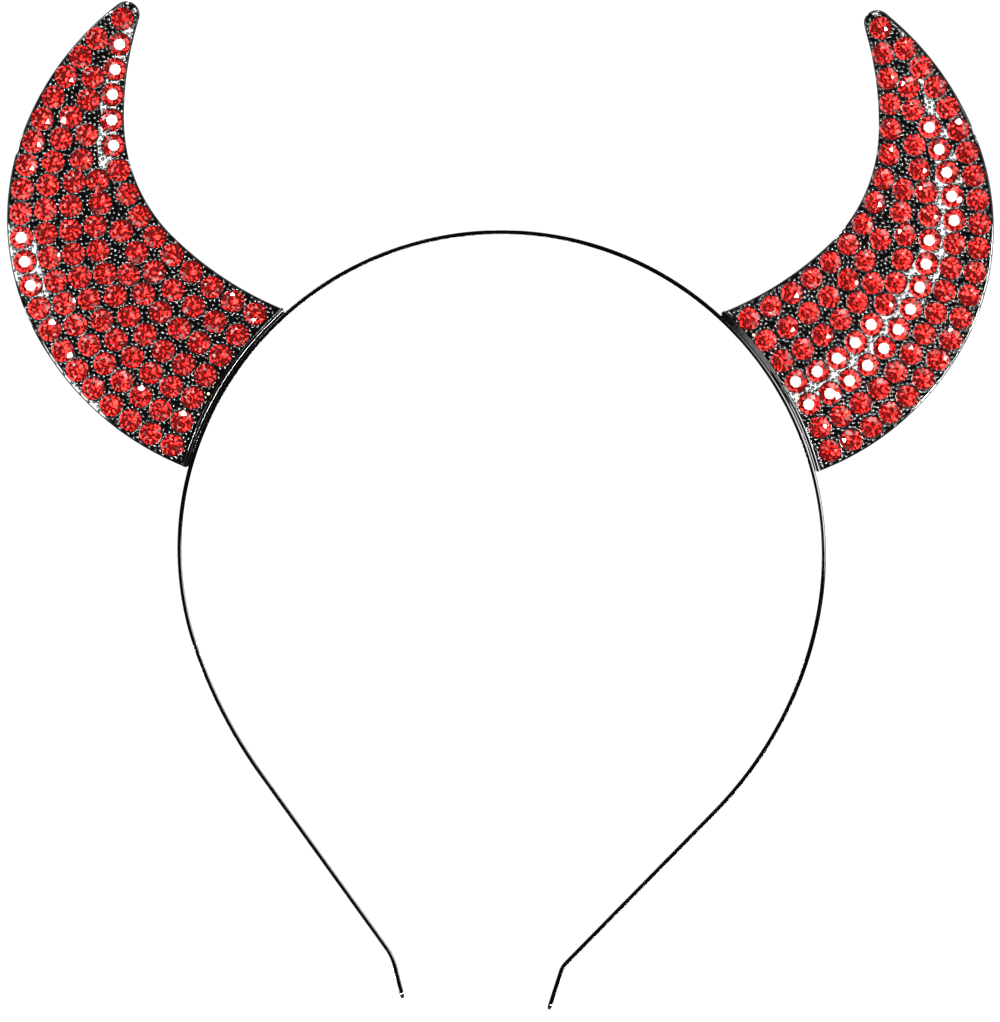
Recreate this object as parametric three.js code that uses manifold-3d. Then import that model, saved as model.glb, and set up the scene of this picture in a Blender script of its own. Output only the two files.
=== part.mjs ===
// A devil horns headband that lies on its back: a hoop of flat spring strip with turned-out tips,
// and two cast horns, each one a domed crescent plate on a foot, set with rows of faceted stones.
// Millimetres and degrees. Z is up from the surface, Y runs from the tips to the crown,
// and X runs from the left horn to the right one, as seen from above.

import * as THREE from "three";
import { mergeVertices } from "three/addons/utils/BufferGeometryUtils.js";
import Module from "manifold-3d";

// Headband strip: it stands on one edge, so its width is the height of the hoop
const HOOP_RADIUS = 62.4; // to the middle of the strip, round the crown
const STRIP_WIDTH = 5;
const STRIP_THICKNESS = 0.85;
const STRIP_EDGE = 0.2; // flat that breaks each corner of the strip

// Horn: reach and rise are the tip's place, out from the strip and along it towards the crown
const HORN_REACH = 56;
const HORN_RISE = 51;
const HORN_BASE = 36; // along the strip, from one base corner to the other
const TIP_BULGE = 0.38; // height of the round tip, as a share of the width that it closes
const PLATE_THICKNESS = 2;
const PLATE_LIFT = 0.64; // of the front of the plate's border, as a share of the strip's width
const DOME_SHARE = 0.033; // rise of the dome, as a share of the plate's width there

// Foot: the flange that carries the plate and follows the strip
const BOND_GAP = 0.3; // between the strip and the foot
const FOOT_THICKNESS = 0.8;
const FOOT_INSET = 0.4; // of each side of the foot from the edge of the strip
const FOOT_EDGE = 0.25;

// Stones
const STONE_DIAMETER = 4.3;
const STONE_GAP = 0.5; // between stones of one row
const ROW_GAP = 0.58; // between rows
const BORDER = 0.45; // between the outermost stones and the edge of the plate
const LEAST_GAP = 0.05; // a stone is set only where it stays this clear of what is round it
const TABLE_SHARE = 0.53; // width of the table, as a share of the stone
const CROWN_HEIGHT = 0.85; // of the table above the plate
const STONE_FACETS = 10;

// Where each horn sits: the angle from the crown to the middle of its base,
// and how far its plate leans up out of the plane of the hoop.
const HORNS = [
  { name: "horn_left", side: -1, fromCrown: 58, lean: 0 },
  { name: "horn_right", side: 1, fromCrown: 58.8, lean: 13.3 },
];

// Each leg of the hoop from the crown to its tip. Radii and straights are shares of the hoop's
// radius, turns are degrees, and a negative turn bends the strip outwards.
const LEGS = {
  left: [
    { stretch: "crown", radius: 1, turn: 70 },
    { stretch: "temple", radius: 0.942, turn: 38.2 },
    { stretch: "flare", radius: 1.489, turn: 17.6 },
    { stretch: "shank", straight: 0.663 },
    { stretch: "bend", radius: 0.163, turn: -22 },
    { stretch: "tip", straight: 0.102 },
  ],
  right: [
    { stretch: "crown", radius: 1, turn: 100.9 },
    { stretch: "flare", radius: 1.18, turn: 33.6 },
    { stretch: "shank", straight: 0.661 },
    { stretch: "bend", radius: 0.068, turn: -26.6 },
    { stretch: "tip", straight: 0.123 },
  ],
};

// Points of the horn's two edges between the base corner and the tip, as shares of the reach and
// the rise. The bulge of the arc that leads to a point is its height as a share of its chord.
const OUTER_EDGE = [
  { reach: 0.565, rise: -0.267, bulge: 0.078 },
  { reach: 1.033, rise: 0.334, bulge: 0.112 },
  { reach: 1.004, rise: 1, bulge: 0.078 },
];
const INNER_EDGE = [
  { reach: 0.423, rise: 0.367, bulge: 0.049 },
  { reach: 0.766, rise: 0.631, bulge: 0.096 },
  { reach: 0.913, rise: 0.995, bulge: 0.041 },
];

// Rows of stones. A row runs between two shares of the length of the edge that it follows. Its
// distance from that edge is counted in rows, at its start, middle and end.
const STONE_ROWS = [
  { edge: "outer", from: 0.036, to: 0.932, start: 0.07, middle: 0.03, end: -0.04 },
  { edge: "outer", from: 0.039, to: 0.782, start: 1.08, middle: 1.02, end: 0.97 },
  { edge: "outer", from: 0.041, to: 0.652, start: 2.1, middle: 1.99, end: 1.99 },
  { edge: "outer", from: 0.036, to: 0.545, start: 3.12, middle: 2.98, end: 2.97 },
  { edge: "outer", from: 0.023, to: 0.382, start: 4.1, middle: 4.09, end: 3.8 },
  { edge: "inner", from: 0.079, to: 0.456, start: 1.18, middle: 1.06, end: 0.92 },
  { edge: "inner", from: 0.064, to: 0.921, start: 0.11, middle: 0, end: -0.03 },
];

// Stones that close the narrow ends of the rows, as shares of the reach and the rise
const CLOSING_STONES = [
  { reach: 0.963, rise: 0.963 },
  { reach: 0.942, rise: 0.716 },
  { reach: 0.913, rise: 0.634 },
  { reach: 0.854, rise: 0.517 },
  { reach: 0.824, rise: 0.429 },
  { reach: 0.739, rise: 0.394 },
  { reach: 0.69, rise: 0.326 },
];

// How finely curves are divided
const ARC_STEP = 5; // degrees of a wide arc
const BEND_STEPS = 4;
const EDGE_POINTS = 8; // divisions of each arc of the horn's edges
const ACROSS_STEPS = 5; // of the back of the plate, the tip and the base
const ROW_SAMPLES = 60;
const FOOT_STEPS = 10;
const SLOPE_STEP = 0.1; // over which the slope of the dome is taken
const WELD = 1e-5; // vertices closer than this are one

const radians = THREE.MathUtils.degToRad;
const footRadius = HOOP_RADIUS + STRIP_THICKNESS / 2 + BOND_GAP;
const plateRadius = footRadius + FOOT_THICKNESS / 2; // where the plate meets the foot
const plateHeight = STRIP_WIDTH * PLATE_LIFT;
const stonePitch = STONE_DIAMETER + STONE_GAP;
const rowPitch = STONE_DIAMETER + ROW_GAP;

const wasm = await Module();
wasm.setup();

// A closed mesh as a solid that can be joined
function solidOf(geometry) {
  const bare = geometry.clone();
  for (const name of Object.keys(bare.attributes)) {
    if (name !== "position") bare.deleteAttribute(name);
  }
  const merged = mergeVertices(bare, WELD);
  return new wasm.Manifold(
    new wasm.Mesh({
      numProp: 3,
      vertProperties: new Float32Array(merged.attributes.position.array),
      triVerts: new Uint32Array(merged.index.array),
    }),
  );
}

// The joined solid back as a geometry
function geometryOf(solid) {
  const mesh = solid.getMesh();
  const geometry = new THREE.BufferGeometry();
  geometry.setAttribute("position", new THREE.BufferAttribute(mesh.vertProperties, 3));
  geometry.setIndex(new THREE.BufferAttribute(mesh.triVerts, 1));
  const flat = geometry.toNonIndexed();
  flat.computeVertexNormals();
  return flat;
}

// Collects numbered vertices and faces
class Shell {
  constructor() {
    this.points = [];
    this.faces = [];
  }

  add(x, y, z) {
    this.points.push(x, y, z);
    return this.points.length / 3 - 1;
  }

  triangle(a, b, c) {
    this.faces.push(a, b, c);
  }

  // A triangle of a surface that faces up, whichever way round its corners were given
  upTriangle(a, b, c) {
    const [p, q, r] = [a, b, c].map((i) => this.flatPoint(i));
    const leftTurn = q.sub(p).cross(r.sub(p)) > 0;
    this.triangle(a, leftTurn ? b : c, leftTurn ? c : b);
  }

  flatPoint(i) {
    return new THREE.Vector2(this.points[3 * i], this.points[3 * i + 1]);
  }

  quad(a, b, c, d) {
    this.triangle(a, b, c);
    this.triangle(a, c, d);
  }

  geometry() {
    const geometry = new THREE.BufferGeometry();
    geometry.setAttribute("position", new THREE.Float32BufferAttribute(this.points, 3));
    geometry.setIndex(this.faces);
    return geometry;
  }
}

// A section of points { off, up } carried along stations { x, y, nx, ny }, with both ends closed.
// The stations run clockwise as seen from above, and their normals point out of the turn.
function sweep(stations, section) {
  const shell = new Shell();
  const rings = stations.map(({ x, y, nx, ny }) =>
    section.map(({ off, up }) => shell.add(x + nx * off, y + ny * off, up)),
  );
  const count = section.length;
  for (let i = 0; i + 1 < rings.length; i += 1) {
    for (let j = 0; j < count; j += 1) {
      const k = (j + 1) % count;
      shell.quad(rings[i][j], rings[i][k], rings[i + 1][k], rings[i + 1][j]);
    }
  }
  const first = rings[0];
  const last = rings[rings.length - 1];
  for (let j = 1; j + 1 < count; j += 1) {
    shell.triangle(first[0], first[j + 1], first[j]);
    shell.triangle(last[0], last[j], last[j + 1]);
  }
  return shell.geometry();
}

// A rectangle from { offA, upA } to { offB, upB } with its four corners broken by a flat
function brokenRectangle(offA, offB, upA, upB, flat) {
  return [
    { off: offA + flat, up: upA },
    { off: offB - flat, up: upA },
    { off: offB, up: upA + flat },
    { off: offB, up: upB - flat },
    { off: offB - flat, up: upB },
    { off: offA + flat, up: upB },
    { off: offA, up: upB - flat },
    { off: offA, up: upA + flat },
  ];
}

// The middle line of one leg, from the crown to the tip, about the middle of the hoop
function legStations(leg, side) {
  const stations = [];
  let x = 0;
  let y = HOOP_RADIUS;
  let heading = 0; // degrees that the strip has turned down from the crown
  const note = () => {
    const turn = radians(heading);
    stations.push({ x: side * x, y, nx: side * Math.sin(turn), ny: Math.cos(turn) });
  };
  const move = (length) => {
    const turn = radians(heading);
    x += length * Math.cos(turn);
    y -= length * Math.sin(turn);
  };
  note();
  for (const { radius, turn, straight } of leg) {
    if (straight) {
      move(straight * HOOP_RADIUS);
      note();
      continue;
    }
    const steps = Math.max(BEND_STEPS, Math.round(turn / ARC_STEP));
    const step = turn / steps;
    const chord = 2 * radius * HOOP_RADIUS * Math.sin(radians(Math.abs(step) / 2));
    for (let i = 0; i < steps; i += 1) {
      heading += step / 2;
      move(chord);
      heading += step / 2;
      note();
    }
  }
  return stations;
}

// The strip: the left leg from its tip up to the crown, then the right leg down
function headband() {
  const left = legStations(LEGS.left, -1).reverse();
  const right = legStations(LEGS.right, 1).slice(1);
  const half = STRIP_THICKNESS / 2;
  const section = brokenRectangle(-half, half, 0, STRIP_WIDTH, STRIP_EDGE);
  return sweep([...left, ...right], section);
}

// Points of an arc from one Vector2 to another, without its first point. A positive bulge lies to
// the right of the way from the first to the second.
function arcPoints(from, to, bulge, count) {
  const chord = to.clone().sub(from);
  const width = chord.length();
  const height = bulge * width;
  const radius = (width * width) / (8 * height) + height / 2;
  const right = new THREE.Vector2(chord.y, -chord.x).divideScalar(width);
  const centre = from.clone().add(to).multiplyScalar(0.5).addScaledVector(right, height - radius);
  const turn = 4 * Math.atan(2 * bulge);
  return Array.from({ length: count }, (_, i) =>
    from.clone().rotateAround(centre, (turn * (i + 1)) / count),
  );
}

// A base corner of the plate, on the line where it meets the foot. In the horn's own plane, x is
// the distance from the middle of the hoop, and y runs along the base towards the crown.
function baseCorner(side) {
  const half = HORN_BASE / 2;
  return new THREE.Vector2(Math.sqrt(plateRadius ** 2 - half ** 2), side * half);
}

const placeOf = ({ reach, rise }) =>
  new THREE.Vector2(footRadius + reach * HORN_REACH, rise * HORN_RISE);

// One edge of the horn from its base corner to the tip
function edgeLine(corner, table) {
  const line = [corner];
  for (const row of table) {
    const last = line[line.length - 1];
    line.push(...arcPoints(last, placeOf(row), row.bulge, EDGE_POINTS));
  }
  return line;
}

const outerLine = edgeLine(baseCorner(-1), OUTER_EDGE);
const innerLine = edgeLine(baseCorner(1), INNER_EDGE);

// Lengths along a line of points, from 0 at its first
function runOf(line) {
  const run = [0];
  for (let i = 1; i < line.length; i += 1) {
    run.push(run[i - 1] + line[i].distanceTo(line[i - 1]));
  }
  return run;
}

// The direction of a line of points at one of them, between those of its two neighbours
function directionAt(line, i) {
  const before = line[Math.max(0, i - 1)];
  const after = line[Math.min(line.length - 1, i + 1)];
  return after.clone().sub(before).normalize();
}

// The point of a line at a distance along it, with the direction of the line there
function pointAlong(line, run, distance) {
  const far = run.findIndex((value) => value >= distance);
  const i = far < 0 ? line.length - 1 : Math.max(1, far);
  const share = (distance - run[i - 1]) / (run[i] - run[i - 1]);
  const point = line[i - 1].clone().lerp(line[i], share);
  const direction = directionAt(line, i - 1).lerp(directionAt(line, i), share).normalize();
  return { point, direction };
}

// The shortest distance from a point to a line of points
function distanceTo(line, point) {
  let best = Infinity;
  for (let i = 1; i < line.length; i += 1) {
    const along = line[i].clone().sub(line[i - 1]);
    const from = point.clone().sub(line[i - 1]);
    const share = THREE.MathUtils.clamp(from.dot(along) / along.lengthSq(), 0, 1);
    best = Math.min(best, from.addScaledVector(along, -share).length());
  }
  return best;
}

// Height of the front of the plate, domed across between its two edges
function frontHeight(point) {
  const toOuter = distanceTo(outerLine, point);
  const width = toOuter + distanceTo(innerLine, point);
  const share = toOuter / width;
  return plateHeight + DOME_SHARE * width * 4 * share * (1 - share);
}

// The plate's grid of points: rows run from the base to the tip, each from the outer to the inner
// edge, blended between the four curves that bound the plate.
function plateGrid() {
  const steps = outerLine.length - 1;
  const corners = [outerLine[0], innerLine[0], outerLine[steps], innerLine[steps]];
  const half = Math.asin(HORN_BASE / 2 / plateRadius);
  const tipLine = [corners[2], ...arcPoints(corners[2], corners[3], TIP_BULGE, ACROSS_STEPS)];
  return outerLine.map((outer, i) => {
    const along = i / steps;
    return tipLine.map((tip, j) => {
      const across = j / ACROSS_STEPS;
      const angle = (2 * across - 1) * half;
      const base = new THREE.Vector2(Math.cos(angle), Math.sin(angle)).multiplyScalar(plateRadius);
      const sides = outer.clone().lerp(innerLine[i], across);
      const ends = base.lerp(tip, along);
      const nearBase = corners[0].clone().lerp(corners[1], across);
      const nearTip = corners[2].clone().lerp(corners[3], across);
      return sides.add(ends).sub(nearBase.lerp(nearTip, along));
    });
  });
}

// The loop of a grid's border: up the outer edge, round the tip, down the inner edge, back along
// the base
function borderOf(grid) {
  const last = grid.length - 1;
  return [
    ...grid.map((row) => row[0]),
    ...grid[last].slice(1),
    ...grid.slice(0, last).map((row) => row[ACROSS_STEPS]).reverse(),
    ...grid[0].slice(1, ACROSS_STEPS).reverse(),
  ];
}

// The plate and its stones as one shell: a front with a round hole for each stone, closed by the
// stone's crown, a back that follows the dome, and a wall round the border.
function dressedPlate(middles) {
  const shell = new Shell();
  const grid = plateGrid();
  const border = borderOf(grid);
  const backGrid = grid.map((row) =>
    row.map((point) => shell.add(point.x, point.y, frontHeight(point) - PLATE_THICKNESS)),
  );
  for (let i = 0; i + 1 < grid.length; i += 1) {
    for (let j = 0; j < ACROSS_STEPS; j += 1) {
      const [here, next] = [backGrid[i], backGrid[i + 1]];
      shell.quad(here[j], here[j + 1], next[j + 1], next[j]);
    }
  }
  const back = borderOf(backGrid);
  const front = border.map((point) => shell.add(point.x, point.y, frontHeight(point)));
  front.forEach((corner, i) => {
    const next = (i + 1) % front.length;
    shell.quad(corner, back[i], back[next], front[next]);
  });
  const rims = middles.map((middle) => stone(shell, middle));
  const holes = rims.map((rim) => rim.map((i) => shell.flatPoint(i)));
  const numbers = [...front, ...rims.flat()];
  for (const [a, b, c] of THREE.ShapeUtils.triangulateShape(border, holes)) {
    shell.upTriangle(numbers[a], numbers[b], numbers[c]);
  }
  return shell.geometry();
}

// The foot, a short flange concentric with the hoop
function foot() {
  const half = Math.asin(HORN_BASE / 2 / plateRadius);
  const stations = Array.from({ length: FOOT_STEPS + 1 }, (_, i) => {
    const angle = half * (1 - (2 * i) / FOOT_STEPS);
    return { x: 0, y: 0, nx: Math.cos(angle), ny: Math.sin(angle) };
  });
  // The flat facets of the foot stay outside the true radius of its inner face.
  const sag = 1 / Math.cos(half / FOOT_STEPS);
  const section = brokenRectangle(
    footRadius * sag,
    (footRadius + FOOT_THICKNESS) * sag,
    FOOT_INSET,
    STRIP_WIDTH - FOOT_INSET,
    FOOT_EDGE,
  );
  return sweep(stations, section);
}

// Middles of the stones of one row, spread evenly between the row's two ends
function rowOfStones({ edge, from, to, start, middle, end }) {
  const line = edge === "outer" ? outerLine : innerLine;
  const inward = edge === "outer" ? 1 : -1;
  const run = runOf(line);
  const length = run[run.length - 1];
  const path = Array.from({ length: ROW_SAMPLES + 1 }, (_, i) => {
    const share = i / ROW_SAMPLES;
    const { point, direction } = pointAlong(line, run, length * (from + (to - from) * share));
    const rows =
      start * (1 - share) * (1 - 2 * share) +
      middle * 4 * share * (1 - share) +
      end * share * (2 * share - 1);
    const inset = STONE_DIAMETER / 2 + BORDER + rows * rowPitch;
    const across = new THREE.Vector2(-direction.y, direction.x).multiplyScalar(inward);
    return point.addScaledVector(across, inset);
  });
  const pathRun = runOf(path);
  const pathLength = pathRun[ROW_SAMPLES];
  const gaps = Math.max(1, Math.round(pathLength / stonePitch));
  return Array.from(
    { length: gaps + 1 },
    (_, i) => pointAlong(path, pathRun, (pathLength * i) / gaps).point,
  );
}

// The stones of a horn: the rows, then the stones that close them, each where there is room
function stoneMiddles() {
  const placed = [];
  const clear = STONE_DIAMETER + LEAST_GAP;
  for (const middle of [...STONE_ROWS.flatMap(rowOfStones), ...CLOSING_STONES.map(placeOf)]) {
    const toEdge = Math.min(distanceTo(outerLine, middle), distanceTo(innerLine, middle));
    const toFoot = middle.length() - footRadius - FOOT_THICKNESS;
    const fits = Math.min(toEdge, toFoot) >= clear / 2;
    if (fits && placed.every((other) => other.distanceTo(middle) >= clear)) placed.push(middle);
  }
  return placed;
}

// The crown of a faceted stone, a table and a ring of facets square to the dome under it. It
// returns the numbers of its rim's vertices, on which the plate closes.
function stone(shell, middle) {
  const height = frontHeight(middle);
  const slopeX = (frontHeight(middle.clone().setX(middle.x + SLOPE_STEP)) - height) / SLOPE_STEP;
  const slopeY = (frontHeight(middle.clone().setY(middle.y + SLOPE_STEP)) - height) / SLOPE_STEP;
  const normal = new THREE.Vector3(-slopeX, -slopeY, 1).normalize();
  const turn = new THREE.Quaternion().setFromUnitVectors(new THREE.Vector3(0, 0, 1), normal);
  const ring = (radius, up) =>
    Array.from({ length: STONE_FACETS }, (_, i) => {
      const angle = (2 * Math.PI * i) / STONE_FACETS;
      const corner = new THREE.Vector3(radius * Math.cos(angle), radius * Math.sin(angle), up);
      corner.applyQuaternion(turn);
      return shell.add(middle.x + corner.x, middle.y + corner.y, height + corner.z);
    });
  const rim = ring(STONE_DIAMETER / 2, 0);
  const table = ring((STONE_DIAMETER / 2) * TABLE_SHARE, CROWN_HEIGHT);
  rim.forEach((corner, i) => {
    const next = (i + 1) % STONE_FACETS;
    shell.quad(corner, rim[next], table[next], table[i]);
  });
  for (let i = 1; i + 1 < STONE_FACETS; i += 1) {
    shell.triangle(table[0], table[i], table[i + 1]);
  }
  return rim;
}

// How the plate leans up out of the plane of the hoop, about the line where it meets the foot
function leaning(lean) {
  const hinge = new THREE.Vector3(plateRadius, 0, plateHeight - PLATE_THICKNESS / 2);
  return new THREE.Matrix4()
    .makeTranslation(hinge)
    .multiply(new THREE.Matrix4().makeRotationY(-radians(lean)))
    .multiply(new THREE.Matrix4().makeTranslation(hinge.clone().negate()));
}

// One horn: its plate, stones and foot are one body, and the right horn mirrors the left. Built as
// the right horn, it is carried from the hoop's right side round to its place.
function horn({ side, fromCrown, lean }) {
  const dressed = dressedPlate(stoneMiddles()).applyMatrix4(leaning(lean));
  const whole = geometryOf(solidOf(foot()).add(solidOf(dressed)));
  whole.rotateZ(radians(90 - fromCrown));
  return side > 0 ? whole : mirrored(whole);
}

// The mirror image across the YZ plane, with its faces turned to look outwards again
function mirrored(geometry) {
  const { array } = geometry.scale(-1, 1, 1).getAttribute("position");
  for (let i = 0; i < array.length; i += 9) {
    for (let axis = 0; axis < 3; axis += 1) {
      const first = array[i + axis];
      array[i + axis] = array[i + 3 + axis];
      array[i + 3 + axis] = first;
    }
  }
  geometry.computeVertexNormals();
  return geometry;
}

function named(name, geometry, material) {
  const mesh = new THREE.Mesh(geometry, material);
  mesh.name = name;
  return mesh;
}

const blackSteel = { color: 0x17181b, roughness: 0.22, metalness: 1 };
const redStone = { color: 0xc8141c, roughness: 0.12, metalness: 0.2 };

const part = new THREE.Group();
part.add(named("headband", headband(), new THREE.MeshStandardMaterial(blackSteel)));
for (const place of HORNS) {
  part.add(named(place.name, horn(place), new THREE.MeshStandardMaterial(redStone)));
}

// The origin lies on the surface, under the middle of the whole
const box = new THREE.Box3().setFromObject(part);
const centre = box.getCenter(new THREE.Vector3());
part.position.set(-centre.x, -centre.y, -box.min.z);

export default part;
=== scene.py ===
"""The looks of a devil horns headband: a lacquered spring strip and two cast horns set with red
foiled glass stones. Lengths are in millimetres until a mesh is made, and then in metres."""

import math

import bpy
import numpy as np
from mathutils import Matrix, Vector
from mathutils.geometry import delaunay_2d_cdt


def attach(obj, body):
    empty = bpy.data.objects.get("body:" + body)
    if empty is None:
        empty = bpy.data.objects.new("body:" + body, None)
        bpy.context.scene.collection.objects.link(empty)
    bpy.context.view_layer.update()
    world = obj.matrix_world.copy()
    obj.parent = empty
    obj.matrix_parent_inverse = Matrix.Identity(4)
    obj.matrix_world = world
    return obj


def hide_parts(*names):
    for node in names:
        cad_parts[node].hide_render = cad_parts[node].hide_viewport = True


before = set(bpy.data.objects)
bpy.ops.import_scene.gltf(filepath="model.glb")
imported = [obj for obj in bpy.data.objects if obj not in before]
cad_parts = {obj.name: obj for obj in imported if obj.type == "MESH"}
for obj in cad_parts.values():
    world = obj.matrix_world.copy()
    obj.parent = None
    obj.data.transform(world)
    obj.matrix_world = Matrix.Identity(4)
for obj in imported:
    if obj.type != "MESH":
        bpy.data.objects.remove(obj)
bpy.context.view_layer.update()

MM = 0.001

# Headband strip, on edge, and the middle of its hoop
HOOP_MIDDLE = (0.05, -9.528)
HOOP_RADIUS = 62.4
STRIP_WIDTH = 5
STRIP_THICKNESS = 0.85
STRIP_ROUND = 0.1  # radius of the strip's rolled corners
TIP_ROUND = 1.1  # radius of the corners at its two ends
TIP_THINNING = 0.35  # share of its thickness that the strip loses towards them

# Horn: reach and rise are the tip's place, out from the strip and along it
HORN_REACH = 56
HORN_RISE = 51
HORN_BASE = 36  # across its foot
TIP_BULGE = 0.38  # of the arc round the tip
PLATE_THICKNESS = 2
PLATE_HEIGHT = 3.2  # of the front's edge
DOME_SHARE = 0.033  # rise of the front between its edges, as a share of the width there
TIP_FALL = 0.18  # drop of the front to the round tip
TIP_FALL_WIDTH = 1.5  # of the stretch in which it drops

# Foot of a horn, and the solder between it and the strip
BOND_GAP = 0.3
FOOT_THICKNESS = 0.8
FOOT_INSET = 0.4  # of its edges from those of the strip
FOOT_ROUND = 0.22
BOND_INSET = 0.75  # of the solder's edges from those of the strip
BOND_ROUND = 0.1
BOND_OVERLAP = 0.08  # of the solder into the strip and into the foot
BOND_SHARE = 0.985  # of the foot's length that the solder fills

# Stones
STONE_DIAMETER = 4.3
STONE_GAP = 0.5
ROW_GAP = 0.58
BORDER = 0.45
LEAST_GAP = 0.05
TABLE_SHARE = 0.53
TABLE_HEIGHT = 0.85  # above the plate
GIRDLE_HEIGHT = 0.16
GIRDLE_THICKNESS = 0.12
CULET_DEPTH = 1.8
STAR_SHARE = 0.78  # radius of the points of the star, as a share of the stone
PAVILION_SHARE = 0.3  # radius of the points of the pavilion's lower facets
STONE_TILT = 0.003  # of a stone that isn't set quite true, in radians
STONE_SIZES = (0.99, 1.0)

# Seats, bead prongs and the rolled edge of the plate
SEAT_CLEARANCE = 0.06
SEAT_WALL = 0.5
SEAT_DEPTH = 1.85
LIP_WIRE = 0.1
LIP_OUTSET = 0.08  # of the middle of a lip from the edge of its seat
LIP_RISE = 0.02
LIP_TILT = 0.015
BEAD_RADIUS = 0.4
BEAD_PITCH = 0.82
BEAD_SHARE = 0.68  # height of a bead over its radius
BEAD_RISE = 0.12
BEAD_TILT = 0.08
BEAD_SIZES = (0.85, 1.1)
BEAD_REACH = 1.7  # a bead sits no further than this from the edge of a stone
BEAD_OVERLAP = 0.032  # of a bead into the lip of a seat
BEAD_MARGIN = 0.08  # between a bead and the edge of the plate
BEAD_FOOT_GAP = 0.1

# Loops of the plate from its front down the rolled edge to its back: inset and depth
PLATE_LOOPS = (
    (0.5, 0), (0.26, 0), (0.24, 0.001), (0.16, 0.016), (0.076, 0.07), (0.02, 0.16), (0, 0.26),
    (0.05, 0.9), (0.16, 1.3), (0.35, 1.7), (0.6, PLATE_THICKNESS),
)

# "worn" are the places, in the horn's own plane, of the beads whose lacquer has rubbed off
HORNS = (
    {"name": "left", "side": -1, "from_crown": 58, "lean": 0, "worn": ((64.7, -3.5),)},
    {"name": "right", "side": 1, "from_crown": 58.8, "lean": 13.3,
     "worn": ((64.1, 11.0), (65.3, -3.8), (119.6, 36.4))},
)

# Legs of the hoop from the crown to the tip: an arc is (share of the hoop's radius, turn in
# degrees), and a straight is (share of the hoop's radius, None).
LEGS = {
    "left": ((1, 70), (0.942, 38.2), (1.489, 17.6), (0.663, None), (0.163, -22), (0.102, None)),
    "right": ((1, 100.9), (1.18, 33.6), (0.661, None), (0.068, -26.6), (0.123, None)),
}

# Edges of a horn: reach, rise, and the bulge of the arc that leads there
OUTER_EDGE = ((0.565, -0.267, 0.078), (1.033, 0.334, 0.112), (1.004, 1, 0.078))
INNER_EDGE = ((0.423, 0.367, 0.049), (0.766, 0.631, 0.096), (0.913, 0.995, 0.041))

# Rows of stones: the edge, where the row begins and ends along it, and its distance from it in
# rows at its start, middle and end
STONE_ROWS = (
    ("outer", 0.036, 0.932, 0.07, 0.03, -0.04),
    ("outer", 0.039, 0.782, 1.08, 1.02, 0.97),
    ("outer", 0.041, 0.652, 2.1, 1.99, 1.99),
    ("outer", 0.036, 0.545, 3.12, 2.98, 2.97),
    ("outer", 0.023, 0.382, 4.1, 4.09, 3.8),
    ("inner", 0.079, 0.456, 1.18, 1.06, 0.92),
    ("inner", 0.064, 0.921, 0.11, 0, -0.03),
)
CLOSING_STONES = (
    (0.963, 0.963), (0.942, 0.716), (0.913, 0.634), (0.854, 0.517),
    (0.824, 0.429), (0.739, 0.394), (0.69, 0.326),
)

# How finely curves are divided
ARC_STEP = 1.5  # degrees
LEAST_ARC_STEPS = 8
STRAIGHT_STEPS = 6
END_POINTS = 7
EDGE_POINTS = 22
BASE_POINTS = 24
TIP_POINTS = 14
CORNER_POINTS = 5
ROW_SAMPLES = 60
SEAT_POINTS = 24
PLATE_GRID = 1.3
BEAD_GRID = 0.12
BEAD_RINGS = (-0.6, 0.3, 0.95)  # up from the widest ring of a bead, in radians
BEAD_SIDES = 8
LIP_SIDES = 16
WIRE_SIDES = 4
MERGE_DISTANCE = 1e-6
SEAT_SLACK = 1e-3  # of a triangle's middle from the straight sides of a seat's edge
TINY = 1e-12  # keeps a level side from dividing by nothing

# Sizes of the patterns in the finishes. The last three are coarser than the real ones, so that
# they show.
ORANGE_PEEL = 1.11  # ripples in the lacquer of the strip
WEAR = 6.25  # patches of the strip that are handled a little duller
POOLING = 3.85  # waves where the lacquer ran together on the plate
FOIL_CLOUD = 2.38  # paler and darker parts of the foil, about half a stone wide
FOIL_CREASE = 0.3125
BEAD_GRAIN = 0.714
RUBBING = 0.333  # scratches on rubbed brass

foot_radius = HOOP_RADIUS + STRIP_THICKNESS / 2 + BOND_GAP
plate_radius = foot_radius + FOOT_THICKNESS / 2
stone_radius = STONE_DIAMETER / 2
seat_radius = stone_radius + SEAT_CLEARANCE


# Node trees and materials

def hex_colour(code):
    """An sRGB hex colour as linear red, green, blue and alpha."""
    parts = [int(code[i:i + 2], 16) / 255 for i in (0, 2, 4)]
    return [p / 12.92 if p <= 0.04045 else ((p + 0.055) / 1.055) ** 2.4 for p in parts] + [1]


def node(tree, kind, inputs=None, **settings):
    """A node with its settings, and its inputs by name or number: a value or another's socket."""
    made = tree.nodes.new(kind)
    for key, value in settings.items():
        setattr(made, key, value)
    for key, value in (inputs or {}).items():
        if isinstance(value, bpy.types.NodeSocket):
            tree.links.new(value, made.inputs[key])
        else:
            made.inputs[key].default_value = value
    return made


def material(name, finish):
    """A material whose surface is the shader socket that finish makes in its tree."""
    made = bpy.data.materials.new(name)
    made.use_nodes = True
    tree = made.node_tree
    tree.nodes.clear()
    node(tree, "ShaderNodeOutputMaterial", {"Surface": finish(tree)})
    return made


def per_metre(size):
    """The scale of a noise whose pattern has a size in millimetres."""
    return 1 / (size * MM)


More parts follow.
